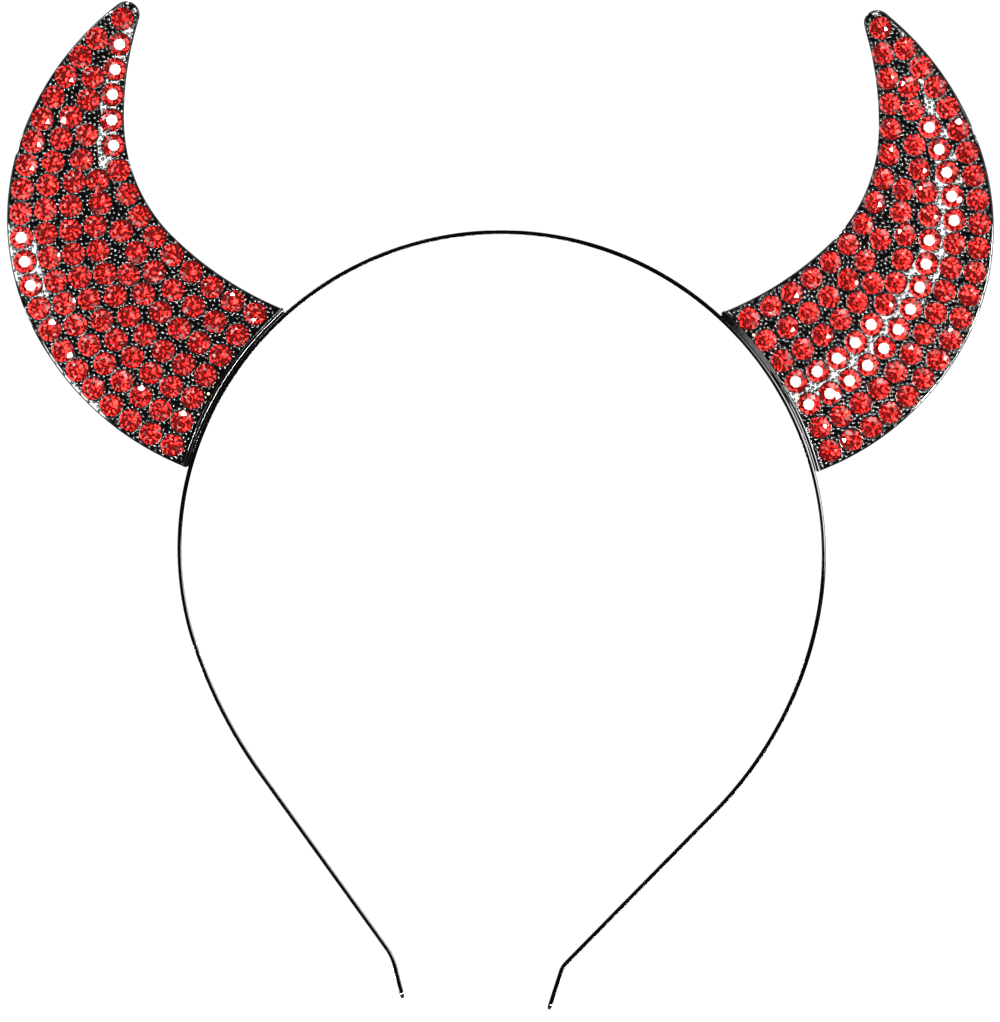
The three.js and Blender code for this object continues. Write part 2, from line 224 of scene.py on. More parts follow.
def strip_lacquer(tree):
    place = node(tree, "ShaderNodeTexCoord").outputs["Object"]
    peel = node(tree, "ShaderNodeTexNoise", {
        "Vector": place, "Scale": per_metre(ORANGE_PEEL), "Detail": 2.0})
    wear = node(tree, "ShaderNodeTexNoise", {
        "Vector": place, "Scale": per_metre(WEAR), "Detail": 3.0})
    dull = node(tree, "ShaderNodeMapRange", {
        "Value": wear.outputs[0], "From Min": 0.35, "From Max": 0.75,
        "To Min": 0.03, "To Max": 0.06})
    bump = node(tree, "ShaderNodeBump", {
        "Height": peel.outputs[0], "Strength": 0.1, "Distance": 0.00001})
    return node(tree, "ShaderNodeBsdfPrincipled", {
        "Base Color": hex_colour("000000"), "Roughness": dull.outputs[0], "IOR": 1.4,
        "Normal": bump.outputs[0]}).outputs[0]


def plate_lacquer(tree):
    place = node(tree, "ShaderNodeTexCoord").outputs["Object"]
    pool = node(tree, "ShaderNodeTexNoise", {
        "Vector": place, "Scale": per_metre(POOLING), "Detail": 2.0})
    dull = node(tree, "ShaderNodeMapRange", {
        "Value": pool.outputs[0], "From Min": 0.3, "From Max": 0.7,
        "To Min": 0.015, "To Max": 0.03})
    bump = node(tree, "ShaderNodeBump", {
        "Height": pool.outputs[0], "Strength": 0.15, "Distance": 0.00002})
    return node(tree, "ShaderNodeBsdfPrincipled", {
        "Base Color": hex_colour("000000"), "Roughness": dull.outputs[0], "IOR": 1.5,
        "Normal": bump.outputs[0]}).outputs[0]


def bead_lacquer(tree):
    place = node(tree, "ShaderNodeTexCoord").outputs["Object"]
    grain = node(tree, "ShaderNodeTexNoise", {
        "Vector": place, "Scale": per_metre(BEAD_GRAIN), "Detail": 3.0})
    dull = node(tree, "ShaderNodeMapRange", {
        "Value": grain.outputs[0], "From Min": 0.3, "From Max": 0.7,
        "To Min": 0.06, "To Max": 0.12})
    return node(tree, "ShaderNodeBsdfPrincipled", {
        "Base Color": hex_colour("000000"), "Roughness": dull.outputs[0],
        "IOR": 1.5}).outputs[0]


def rubbed_brass(tree):
    place = node(tree, "ShaderNodeTexCoord").outputs["Object"]
    rub = node(tree, "ShaderNodeTexNoise", {
        "Vector": place, "Scale": per_metre(RUBBING), "Detail": 2.0})
    tone = node(tree, "ShaderNodeMapRange", {
        "Value": rub.outputs[0], "From Min": 0.3, "From Max": 0.7,
        "To Min": 0.2, "To Max": 0.4})
    return node(tree, "ShaderNodeBsdfPrincipled", {
        "Base Color": hex_colour("e0a878"), "Metallic": 1.0,
        "Roughness": tone.outputs[0]}).outputs[0]


def stone_glass(tree):
    return node(tree, "ShaderNodeBsdfPrincipled", {
        "Base Color": hex_colour("d22c2a"), "Roughness": 0.0, "IOR": 1.48,
        "Transmission Weight": 0.97}).outputs[0]


def stone_foil(tree):
    place = node(tree, "ShaderNodeTexCoord").outputs["Object"]
    cloud = node(tree, "ShaderNodeTexNoise", {
        "Vector": place, "Scale": per_metre(FOIL_CLOUD), "Detail": 1.0})
    crease = node(tree, "ShaderNodeTexNoise", {
        "Vector": place, "Scale": per_metre(FOIL_CREASE), "Detail": 1.0})
    tint = node(tree, "ShaderNodeMix", {
        "Factor": cloud.outputs[0], 6: hex_colour("d89088"), 7: hex_colour("fff0e8")},
        data_type="RGBA")
    bump = node(tree, "ShaderNodeBump", {
        "Height": crease.outputs[0], "Strength": 1.0, "Distance": 0.0000015})
    return node(tree, "ShaderNodeBsdfPrincipled", {
        "Base Color": tint.outputs[2], "Metallic": 1.0, "Roughness": 0.02,
        "Normal": bump.outputs[0]}).outputs[0]


def pale_floor(tree):
    return node(tree, "ShaderNodeBsdfPrincipled", {
        "Base Color": hex_colour("404040"), "Roughness": 0.9, "Specular IOR Level": 0.1,
        "Emission Color": hex_colour("ffffff"), "Emission Strength": 0.9}).outputs[0]


# Lacquer on rolled spring steel: black, glossy, with a faint orange peel
STRIP_LACQUER = material("black_lacquer_on_spring_steel", strip_lacquer)
# Lacquer on the smooth cast plate: black, pooled in the hollows, mirroring lamps sharply
PLATE_LACQUER = material("black_lacquer_on_cast_zinc", plate_lacquer)
# The same lacquer on the raised beads and lips: a little duller, with a small round glint
BEAD_LACQUER = material("black_lacquer_on_raised_beads", bead_lacquer)
# Brass undercoat where the black has rubbed off a bead: a pale copper spot
RUBBED_BRASS = material("rubbed_brass", rubbed_brass)
# Pressed and polished red glass: deep red, clear, with sharp glints
STONE_GLASS = material("polished_red_glass", stone_glass)
# Foil behind the glass: a bright mirror, faintly pink and creased, that throws the red back
STONE_FOIL = material("red_foil_backing", stone_foil)
# Matt sheet, lit from below: an even white without shadows
PALE_FLOOR = material("matt_white_acrylic", pale_floor)


# Plane curves

def arc_points(start, end, bulge, count):
    """Points of an arc without its first. A positive bulge lies to the right of the way along."""
    start, end = np.array(start, float), np.array(end, float)
    chord = end - start
    width = np.hypot(*chord)
    height = bulge * width
    radius = width * width / (8 * height) + height / 2
    right = np.array([chord[1], -chord[0]]) / width
    centre = (start + end) / 2 + right * (height - radius)
    turns = 4 * math.atan(2 * bulge) * np.arange(1, count + 1) / count
    spoke = start - centre
    return centre + np.stack([
        spoke[0] * np.cos(turns) - spoke[1] * np.sin(turns),
        spoke[0] * np.sin(turns) + spoke[1] * np.cos(turns)], 1)


def place_of(reach, rise):
    """A place in the horn's own plane from shares of its reach and rise."""
    return np.array([foot_radius + reach * HORN_REACH, rise * HORN_RISE])


def edge_line(side, table):
    """One edge of the horn, from its base corner to the tip."""
    half = HORN_BASE / 2
    line = np.array([[math.sqrt(plate_radius ** 2 - half ** 2), side * half]])
    for reach, rise, bulge in table:
        line = np.vstack([line, arc_points(line[-1], place_of(reach, rise), bulge, EDGE_POINTS)])
    return line


def run_of(line):
    """Distance along a line to each of its points."""
    return np.concatenate([[0], np.cumsum(np.hypot(*np.diff(line, axis=0).T))])


def along(line, distances):
    """Points of a line at distances along it, with its directions there."""
    run = run_of(line)
    slopes = np.gradient(line, axis=0)
    slopes /= np.hypot(*slopes.T)[:, None]
    points, ways = (np.stack([np.interp(distances, run, part[:, k]) for k in (0, 1)], 1)
                    for part in (line, slopes))
    return points, ways / np.hypot(*ways.T)[:, None]


def distance_to(line, points):
    """Shortest distance from each point to a line of points."""
    starts, steps = line[:-1], np.diff(line, axis=0)
    offsets = points[:, None] - starts[None]
    shares = np.clip((offsets * steps).sum(2) / (steps ** 2).sum(1), 0, 1)
    return np.hypot(*(offsets - shares[..., None] * steps).transpose(2, 0, 1)).min(1)


outer_line = edge_line(-1, OUTER_EDGE)
inner_line = edge_line(1, INNER_EDGE)
tip_line = np.vstack([outer_line[-1:],
                      arc_points(outer_line[-1], inner_line[-1], TIP_BULGE, TIP_POINTS)])


def front_height(points):
    """Height of the front of the plate, domed across between its two edges."""
    to_outer, to_inner = distance_to(outer_line, points), distance_to(inner_line, points)
    share = to_outer / (to_outer + to_inner)
    near_tip = np.clip(1 - distance_to(tip_line, points) / TIP_FALL_WIDTH, 0, 1)
    return (PLATE_HEIGHT + DOME_SHARE * (to_outer + to_inner) * 4 * share * (1 - share)
            - TIP_FALL * near_tip ** 2)


def front_normals(points):
    """The way that the front of the plate faces at each point."""
    step = 0.1
    height = front_height(points)
    slopes = [(front_height(points + step * np.eye(2)[k]) - height) / step for k in (0, 1)]
    normals = np.stack([-slopes[0], -slopes[1], np.ones(len(points))], 1)
    return normals / np.linalg.norm(normals, axis=1)[:, None]


def row_of_stones(edge, begin, finish, start, middle, end):
    """Middles of the stones of a row, evenly spaced along it."""
    line, inward = (outer_line, 1) if edge == "outer" else (inner_line, -1)
    shares = np.linspace(0, 1, ROW_SAMPLES + 1)
    points, ways = along(line, run_of(line)[-1] * (begin + (finish - begin) * shares))
    rows = (start * (1 - shares) * (1 - 2 * shares) + middle * 4 * shares * (1 - shares)
            + end * shares * (2 * shares - 1))
    inset = stone_radius + BORDER + rows * (STONE_DIAMETER + ROW_GAP)
    path = points + inward * inset[:, None] * np.stack([-ways[:, 1], ways[:, 0]], 1)
    length = run_of(path)[-1]
    gaps = max(1, round(length / (STONE_DIAMETER + STONE_GAP)))
    return along(path, np.linspace(0, length, gaps + 1))[0]


def stone_middles():
    """The rows, then the stones that close them, each where there is room."""
    placed = []
    clear = STONE_DIAMETER + LEAST_GAP
    rows = np.vstack([row_of_stones(*row) for row in STONE_ROWS])
    for middle in np.vstack([rows, [place_of(*closing) for closing in CLOSING_STONES]]):
        to_edge = min(distance_to(edge, middle[None])[0] for edge in (outer_line, inner_line))
        to_foot = np.hypot(*middle) - foot_radius - FOOT_THICKNESS
        fits = min(to_edge, to_foot) >= clear / 2
        if fits and all(np.hypot(*(other - middle)) >= clear for other in placed):
            placed.append(middle)
    return np.array(placed)


stones = stone_middles()


# Meshes

def foot_matrix(horn):
    """From the plane of a horn's foot, round the middle of the hoop, to the row frame."""
    turn = Matrix.Rotation(math.radians(90 - horn["from_crown"]), 4, "Z")
    return (Matrix.Translation((*HOOP_MIDDLE, 0)) @ Matrix.Diagonal((horn["side"], 1, 1, 1)) @ turn)


def horn_matrix(horn):
    """From the horn's own plane, in millimetres, to the row frame."""
    hinge = Vector((plate_radius, 0, PLATE_HEIGHT - PLATE_THICKNESS / 2))
    lean = (Matrix.Translation(hinge) @ Matrix.Rotation(-math.radians(horn["lean"]), 4, "Y")
            @ Matrix.Translation(-hinge))
    return foot_matrix(horn) @ lean


def mesh_object(name, points, faces, matrix=Matrix(), finishes=(), sharp=35):
    """A mesh with its place in it, in metres, and its faces turned back if it is mirrored."""
    moved = np.array(points, float) @ np.array(matrix)[:3, :3].T + np.array(matrix)[:3, 3]
    if matrix.determinant() < 0:
        faces = [list(face)[::-1] for face in faces]
    mesh = bpy.data.meshes.new(name)
    mesh.from_pydata((moved * MM).tolist(), [], [list(face) for face in faces])
    for finish in finishes:
        mesh.materials.append(finish)
    mesh.shade_smooth()
    mesh.set_sharp_from_angle(angle=math.radians(sharp))
    mesh.update()
    made = bpy.data.objects.new(name, mesh)
    bpy.context.scene.collection.objects.link(made)
    return made


def dressed(piece, node_name):
    """The piece moves with the part and stands for a solid of it, which is hidden."""
    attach(piece, "root")
    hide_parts(node_name)
    return piece


def skin(loops):
    """Quads between closed loops of the same length, whose numbers follow each other."""
    count = len(loops[0])
    faces = []
    for level in range(len(loops) - 1):
        for i in range(count):
            j = (i + 1) % count
            a, b = level * count, (level + 1) * count
            faces.append((a + i, b + i, b + j, a + j))
    return faces


def rounded_section(left, right, low, high, radius):
    """A rectangle's outline with round corners, anticlockwise, as offset and height."""
    corners = ((right - radius, low + radius, -90), (right - radius, high - radius, 0),
               (left + radius, high - radius, 90), (left + radius, low + radius, 180))
    return np.array([
        (x + radius * math.cos(math.radians(begin + 90 * k / CORNER_POINTS)),
         y + radius * math.sin(math.radians(begin + 90 * k / CORNER_POINTS)))
        for x, y, begin in corners for k in range(CORNER_POINTS + 1)])


def swept(stations, sections):
    """A section at each station x, y, nx, ny, skinned and closed at both ends."""
    loops = [[(x + nx * off, y + ny * off, up) for off, up in section]
             for (x, y, nx, ny), section in zip(stations, sections)]
    faces = skin(loops)
    count = len(loops[0])
    last = len(loops) * count
    faces += [tuple(range(count))[::-1], tuple(range(last - count, last))]
    return [point for loop in loops for point in loop], [face[::-1] for face in faces]


# The strip

def leg_stations(leg, side):
    """The middle line of a leg from the crown to its tip, with its outward normals."""
    x, y, heading = 0.0, float(HOOP_RADIUS), 0.0
    stations = [(x, y, 0.0, 1.0)]
    for share, turn in leg:
        steps = (STRAIGHT_STEPS if turn is None else
                 max(LEAST_ARC_STEPS, round(abs(turn) / ARC_STEP)))
        for _ in range(steps):
            step = 0 if turn is None else turn / steps
            length = (share * HOOP_RADIUS / steps if turn is None else
                      2 * share * HOOP_RADIUS * math.sin(math.radians(abs(step) / 2)))
            way = math.radians(heading + step / 2)
            x, y = x + length * math.cos(way), y - length * math.sin(way)
            heading += step
            way = math.radians(heading)
            stations.append((side * x, y, side * math.sin(way), math.cos(way)))
            x = abs(x)
    return stations


def strip():
    """The spring strip, tip to tip, with its corners rolled and its ends rounded."""
    left = leg_stations(LEGS["left"], -1)[::-1]
    path = np.array(left + leg_stations(LEGS["right"], 1)[1:])
    run = run_of(path[:, :2])
    ends = TIP_ROUND * (1 - np.cos(np.linspace(0, math.pi / 2, END_POINTS)))
    marks = np.unique(np.concatenate([ends, run[(run > TIP_ROUND) & (run < run[-1] - TIP_ROUND)],
                                      run[-1] - ends]))
    stations = [tuple(np.interp(mark, run, path[:, k]) for k in range(4)) for mark in marks]
    sections = []
    for mark in marks:
        into = min(mark, run[-1] - mark, TIP_ROUND)
        drop = TIP_ROUND - math.sqrt(TIP_ROUND ** 2 - (TIP_ROUND - into) ** 2)
        thin = STRIP_THICKNESS / 2 * (1 - TIP_THINNING * (1 - into / TIP_ROUND) ** 2)
        sections.append(rounded_section(-thin, thin, drop, STRIP_WIDTH - drop, STRIP_ROUND))
    return swept(stations, sections)


points, faces = strip()
strip_piece = mesh_object("spring_strip", points, faces,
                          Matrix.Translation((*HOOP_MIDDLE, 0)), [STRIP_LACQUER], sharp=60)
dressed(strip_piece, "headband")


# The castings

def horn_path(inset):
    """The outline from the outer base corner round the tip to the inner one, moved inwards."""
    path = np.vstack([outer_line, tip_line[1:], inner_line[-2::-1]])
    ways = np.gradient(path, axis=0)
    ways /= np.hypot(*ways.T)[:, None]
    moved = path + inset * np.stack([-ways[:, 1], ways[:, 0]], 1)
    for end in (0, -1):
        height = moved[end, 1]
        moved[end, 0] = math.sqrt(plate_radius ** 2 - height ** 2)
    return moved


def horn_loop(inset):
    """The closed outline, moved inwards but on the foot."""
    path = horn_path(inset)
    begin, finish = (math.atan2(point[1], point[0]) for point in (path[-1], path[0]))
    angles = np.linspace(begin, finish, BASE_POINTS + 1)[1:-1]
    base = plate_radius * np.stack([np.cos(angles), np.sin(angles)], 1)
    return np.vstack([path, base])


def filled(loop, holes, spacing):
    """Triangles that fill a loop but for its round holes, with a grid of points between them."""
    fixed = np.vstack([loop, *holes]) if len(holes) else loop
    edges, start = [], 0
    for ring in [loop, *holes]:
        edges += [(start + i, start + (i + 1) % len(ring)) for i in range(len(ring))]
        start += len(ring)
    low, high = loop.min(0), loop.max(0)
    across = np.arange(low[0], high[0], spacing)
    up = np.arange(low[1], high[1], spacing)
    grid = np.array([(x + (j % 2) * spacing / 2, y) for j, y in enumerate(up) for x in across])
    closed = np.vstack([loop, loop[:1]])
    # The grid keeps off the outline and the holes, so that no triangle is a sliver
    inside = (distance_to(closed, grid) > spacing / 3) & within(closed, grid)
    if len(holes):
        inside &= hole_distance(grid) > seat_radius + spacing / 4
    spots = np.vstack([fixed, grid[inside]])
    made = delaunay_2d_cdt([Vector(spot) for spot in spots], edges, [], 0, MERGE_DISTANCE)
    spots = np.array([tuple(spot) for spot in made[0]])
    faces = np.array(made[2])
    middles = spots[faces].mean(1)
    kept = within(closed, middles)
    if len(holes):
        side_distance = seat_radius * math.cos(math.pi / SEAT_POINTS)
        kept &= hole_distance(middles) > side_distance - SEAT_SLACK
    faces = faces[kept]
    a, b, c = (spots[faces[:, k]] for k in range(3))
    turned = (b - a)[:, 0] * (c - a)[:, 1] - (b - a)[:, 1] * (c - a)[:, 0] < 0
    faces[turned] = faces[turned][:, ::-1]
    return spots, faces


def hole_distance(points):
    """Distance from each point to the middle of the nearest stone."""
    return np.hypot(*(points[:, None] - stones[None]).transpose(2, 0, 1)).min(1)


def within(closed, points):
    """Whether each point lies inside a closed line."""
    x, y = points[:, 0, None], points[:, 1, None]
    (x0, y0), (x1, y1) = closed[:-1].T, closed[1:].T
    crosses = ((y0 > y) != (y1 > y)) & (x < (x1 - x0) * (y - y0) / (y1 - y0 + TINY) + x0)
    return crosses.sum(1) % 2 == 1


def plate():
    """The casting's plate: a front with a seat for each stone, a rolled edge and a plain back."""
    spread = 2 * math.pi * np.arange(SEAT_POINTS) / SEAT_POINTS
    circle = seat_radius * np.stack([np.cos(spread), np.sin(spread)], 1)
    holes = [middle + circle for middle in stones]
    points, faces = [], []

    def add(new_points, new_faces):
        start = len(points)
        points.extend(map(tuple, new_points))
        faces.extend(tuple(start + i for i in face) for face in new_faces)

    def lifted(spots, depth):
        return np.column_stack([spots, front_height(spots) - depth])

    spots, front = filled(horn_loop(PLATE_LOOPS[0][0]), holes, PLATE_GRID)
    add(lifted(spots, 0), front)
    loops = [lifted(horn_loop(inset), depth) for inset, depth in PLATE_LOOPS]
    add(np.vstack(loops), skin(loops))
    spots, back = filled(horn_loop(PLATE_LOOPS[-1][0]), [], 2 * PLATE_GRID)
    add(lifted(spots, PLATE_THICKNESS), back[:, ::-1])
    for middle, ring in zip(stones, holes):
        floor = np.append(middle, front_height(middle[None]) - SEAT_DEPTH)
        wall = [lifted(ring, 0), lifted(ring, SEAT_WALL)]
        cone = [(SEAT_POINTS + i, 2 * SEAT_POINTS, SEAT_POINTS + (i + 1) % SEAT_POINTS)
                for i in range(SEAT_POINTS)]
        add(np.vstack([*wall, floor]), skin(wall) + cone)
    return points, faces


def round_bar(section, share):
    """A section swept round the hoop, along a share of the foot's length."""
    half = share * math.asin(HORN_BASE / 2 / plate_radius)
    angles = np.linspace(half, -half, 2 * BASE_POINTS)
    return swept([(0, 0, math.cos(a), math.sin(a)) for a in angles], [section] * len(angles))


def foot():
    """The flange that carries the plate."""
    section = rounded_section(foot_radius, foot_radius + FOOT_THICKNESS,
                              FOOT_INSET, STRIP_WIDTH - FOOT_INSET, FOOT_ROUND)
    return round_bar(section, 1)


def solder():
    """The seam of solder between the strip and the foot, sunk between them."""
    section = rounded_section(foot_radius - BOND_GAP - BOND_OVERLAP, foot_radius + BOND_OVERLAP,
                              BOND_INSET, STRIP_WIDTH - BOND_INSET, BOND_ROUND)
    return round_bar(section, BOND_SHARE)


def bead_spots():
    """Places of the bead prongs in what is left between the stones, nearest a stone first."""
    low, high = outer_line.min(0) - 1, outer_line.max(0) + 1
    low = np.minimum(low, inner_line.min(0))
    high = np.maximum(high, inner_line.max(0))
    grid = np.array([(x, y) for x in np.arange(low[0], high[0], BEAD_GRID)
                     for y in np.arange(low[1], high[1], BEAD_GRID)])
    loop = horn_loop(0)
    closed = np.vstack([loop, loop[:1]])
    grid = grid[within(closed, grid)]
    to_stone = hole_distance(grid) - stone_radius
    to_edge = distance_to(closed, grid)
    to_foot = np.hypot(*grid.T) - foot_radius - FOOT_THICKNESS
    open_spot = ((to_stone > BEAD_RADIUS - BEAD_OVERLAP) & (to_stone < BEAD_REACH)
                 & (to_edge > BEAD_RADIUS + BEAD_MARGIN) & (to_foot > BEAD_RADIUS + BEAD_FOOT_GAP))
    grid = grid[open_spot]
    grid = grid[np.argsort(np.round(to_stone[open_spot], 1), kind="stable")]
    taken = np.empty((0, 2))
    for spot in grid:
        if not len(taken) or np.hypot(*(taken - spot).T).min() >= BEAD_PITCH:
            taken = np.vstack([taken, spot])
    return taken


def points_object(name, spots, height, matrix, marks=None):
    """Bare points on the front of the plate, with the way that each faces."""
    normals = front_normals(spots)
    lifted = np.column_stack([spots, front_height(spots)]) + height * normals
    turn = np.array(matrix)[:3, :3]
    made = mesh_object(name, lifted, [], matrix)
    facing = made.data.attributes.new("facing", "FLOAT_VECTOR", "POINT")
    facing.data.foreach_set("vector", (normals @ turn.T).ravel())
    worn = made.data.attributes.new("worn", "BOOLEAN", "POINT")
    worn.data.foreach_set("value", np.zeros(len(spots), bool) if marks is None else marks)
    return made


# What repeats

def socket(tree, name, kind, default=None):
    """A named input of a tree."""
    made = tree.interface.new_socket(name, in_out="INPUT", socket_type=kind)
    if default is not None:
        made.default_value = default
    return made


def facing_tree(name, sizes, shape, finishes, seed, tilt, spin, size_range):
    """A tree that sets one shape on each point, turned to face the point's own way."""
    tree = bpy.data.node_groups.new(name, "GeometryNodeTree")
    socket(tree, "Points", "NodeSocketGeometry")
    for size, value in sizes.items():
        socket(tree, size, "NodeSocketFloat", value)
    socket(tree, "Tilt", "NodeSocketFloat", tilt)
    socket(tree, "Spin", "NodeSocketFloat", spin)
    socket(tree, "Smallest", "NodeSocketFloat", size_range[0])
    socket(tree, "Largest", "NodeSocketFloat", size_range[1])
    socket(tree, "Seed", "NodeSocketInt", seed)
    tree.interface.new_socket("Mesh", in_out="OUTPUT", socket_type="NodeSocketGeometry")
    given = node(tree, "NodeGroupInput").outputs
    facing = node(tree, "GeometryNodeInputNamedAttribute", {"Name": "facing"},
                  data_type="FLOAT_VECTOR")
    sway = node(tree, "FunctionNodeRandomValue", {0: (-1, -1, -1), "Seed": given["Seed"]},
                data_type="FLOAT_VECTOR")
    swayed = node(tree, "ShaderNodeVectorMath", {0: sway.outputs[0], "Scale": given["Tilt"]},
                  operation="SCALE")
    way = node(tree, "ShaderNodeVectorMath", {0: facing.outputs[0], 1: swayed.outputs[0]},
               operation="ADD")
    upright = node(tree, "FunctionNodeAlignRotationToVector", {"Vector": way.outputs[0]}, axis="Z")
    angle = node(tree, "FunctionNodeRandomValue", {
        2: 0.0, 3: given["Spin"], "Seed": given["Seed"]})
    about = node(tree, "FunctionNodeAxisAngleToRotation", {
        "Axis": (0, 0, 1), "Angle": angle.outputs[1]})
    turned = node(tree, "FunctionNodeRotateRotation", {
        "Rotation": upright.outputs[0], "Rotate By": about.outputs[0]}, rotation_space="LOCAL")
    scale = node(tree, "FunctionNodeRandomValue", {
        2: given["Smallest"], 3: given["Largest"], "Seed": given["Seed"]})
    placed = node(tree, "GeometryNodeInstanceOnPoints", {
        "Points": given["Points"], "Instance": shape(tree, given), "Rotation": turned.outputs[0],
        "Scale": scale.outputs[1]})
    last = node(tree, "GeometryNodeRealizeInstances", {"Geometry": placed.outputs[0]})
    for mark, finish in finishes:
        inputs = {"Geometry": last.outputs[0], "Material": finish}
        if mark:
            chosen = node(tree, "GeometryNodeInputNamedAttribute", {"Name": mark},
                          data_type="BOOLEAN")
            inputs["Selection"] = chosen.outputs[0]
        last = node(tree, "GeometryNodeSetMaterial", inputs)
    node(tree, "NodeGroupOutput", {0: last.outputs[0]})
    return tree


def grown(name, base, tree):
    """The plain mesh that a tree makes of a base object, which is then removed."""
    modifier = base.modifiers.new(name, "NODES")
    modifier.node_group = tree
    base.update_tag()
    graph = bpy.context.evaluated_depsgraph_get()
    mesh = bpy.data.meshes.new_from_object(base.evaluated_get(graph))
    mesh.name = name
    while None in mesh.materials[:]:
        mesh.materials.pop(index=mesh.materials[:].index(None))
    bpy.data.objects.remove(base)
    made = bpy.data.objects.new(name, mesh)
    bpy.context.scene.collection.objects.link(made)
    for extra in ("facing", "worn", "foiled"):
        if extra in mesh.attributes:
            mesh.attributes.remove(mesh.attributes[extra])
    return made


def cut_stone():
    """A brilliant cut stone, facing up, with its girdle's foot at the origin."""
    eighth = math.pi / 4
    table_radius = TABLE_SHARE * stone_radius
    star_radius = STAR_SHARE * stone_radius
    low_radius = PAVILION_SHARE * stone_radius
    top = TABLE_HEIGHT - GIRDLE_HEIGHT
    crown_fall = (top - GIRDLE_THICKNESS) / (stone_radius - table_radius)
    star_height = top - (star_radius * math.cos(eighth / 2) - table_radius) * crown_fall
    low_depth = -CULET_DEPTH * (1 - low_radius * math.cos(eighth / 2) / stone_radius)

    def ring(radius, height, count, shift=0):
        return [(radius * math.cos(2 * math.pi * (i + shift) / count),
                 radius * math.sin(2 * math.pi * (i + shift) / count), height)
                for i in range(count)]

    points = (ring(table_radius, top, 8) + ring(star_radius, star_height, 8, 0.5)
              + ring(stone_radius, GIRDLE_THICKNESS, 16) + ring(stone_radius, 0, 16)
              + ring(low_radius, low_depth, 8, 0.5) + [(0, 0, -CULET_DEPTH)])
    table, star, girdle, foot_ring, low, culet = 0, 8, 16, 32, 48, 56
    faces = [tuple(range(8))]
    for i in range(8):
        j, before = (i + 1) % 8, (i - 1) % 8
        g, h, k = 2 * i, 2 * i + 1, (2 * i + 2) % 16
        faces += [(table + i, star + i, table + j),
                  (table + i, star + before, girdle + g, star + i),
                  (star + i, girdle + g, girdle + h), (star + i, girdle + h, girdle + k)]
    for i in range(16):
        j = (i + 1) % 16
        faces.append((girdle + i, foot_ring + i, foot_ring + j, girdle + j))
    clear = len(faces)
    for i in range(8):
        before = (i - 1) % 8
        g, h, k = 2 * i, 2 * i + 1, (2 * i + 2) % 16
        faces += [(culet, low + i, foot_ring + g, low + before),
                  (low + i, foot_ring + h, foot_ring + g),
                  (low + i, foot_ring + k, foot_ring + h)]
    made = mesh_object("cut_stone", points, faces, finishes=[STONE_GLASS, STONE_FOIL], sharp=1)
    made.data.polygons.foreach_set("use_smooth", [False] * len(faces))
    foiled = made.data.attributes.new("foiled", "BOOLEAN", "FACE")
    foiled.data.foreach_set("value", [i >= clear for i in range(len(faces))])
    return made


def bead_dome():
    """The upper part of a ball pressed a little flat, open below, where the plate closes it."""
    around = np.linspace(0, math.tau, BEAD_SIDES + 1)[:-1]
    points = [(BEAD_RADIUS * math.cos(up) * math.cos(a), BEAD_RADIUS * math.cos(up) * math.sin(a),
               BEAD_RADIUS * BEAD_SHARE * math.sin(up)) for up in BEAD_RINGS for a in around]
    faces = skin([points[start:start + BEAD_SIDES] for start in range(0, len(points), BEAD_SIDES)])
    last, top = len(points) - BEAD_SIDES, len(points)
    faces = [face[::-1] for face in faces]
    faces += [(last + i, last + (i + 1) % BEAD_SIDES, top) for i in range(BEAD_SIDES)]
    return mesh_object("bead", points + [(0, 0, BEAD_SHARE * BEAD_RADIUS)], faces, sharp=180)


stone_pattern = cut_stone()
bead_pattern = bead_dome()


def stone_shape(tree, given):
    """The cut stone, as it is."""
    return node(tree, "GeometryNodeObjectInfo", {"Object": stone_pattern}).outputs["Geometry"]


def bead_shape(tree, given):
    """The bead, as it is."""
    return node(tree, "GeometryNodeObjectInfo", {"Object": bead_pattern}).outputs["Geometry"]


def lip_shape(tree, given):
    """A ring of wire round a seat, half sunk in the plate."""
    ring = node(tree, "GeometryNodeCurvePrimitiveCircle", {
        "Radius": given["Radius"], "Resolution": LIP_SIDES})
    wire = node(tree, "GeometryNodeCurvePrimitiveCircle", {
        "Radius": given["Wire"], "Resolution": WIRE_SIDES})
    tube = node(tree, "GeometryNodeCurveToMesh", {0: ring.outputs[0], 1: wire.outputs[0]})
    return node(tree, "GeometryNodeSetShadeSmooth", {"Geometry": tube.outputs[0]}).outputs[0]


# The facets repeat every eighth of a turn, so a stone is turned by no more than that
stone_tree = facing_tree(
    "set_stones", {}, stone_shape, [(None, STONE_GLASS), ("foiled", STONE_FOIL)],
    seed=7, tilt=STONE_TILT, spin=math.pi / 4, size_range=STONE_SIZES)
bead_tree = facing_tree(
    "set_beads", {}, bead_shape, [(None, BEAD_LACQUER), ("worn", RUBBED_BRASS)],
    seed=3, tilt=BEAD_TILT, spin=math.tau, size_range=BEAD_SIZES)
lip_tree = facing_tree(
    "set_lips", {"Radius": (seat_radius + LIP_OUTSET) * MM, "Wire": LIP_WIRE * MM},
    lip_shape, [(None, BEAD_LACQUER)], seed=5, tilt=LIP_TILT, spin=math.tau, size_range=(1.0, 1.0))

plate_mesh, foot_mesh, solder_mesh = plate(), foot(), solder()
beads = bead_spots()


def nearest_beads(places):
    """Marks the bead nearest to each place."""
    marks = np.zeros(len(beads), bool)
    for place in places:
        marks[np.hypot(*(beads - place).T).argmin()] = True
    return marks


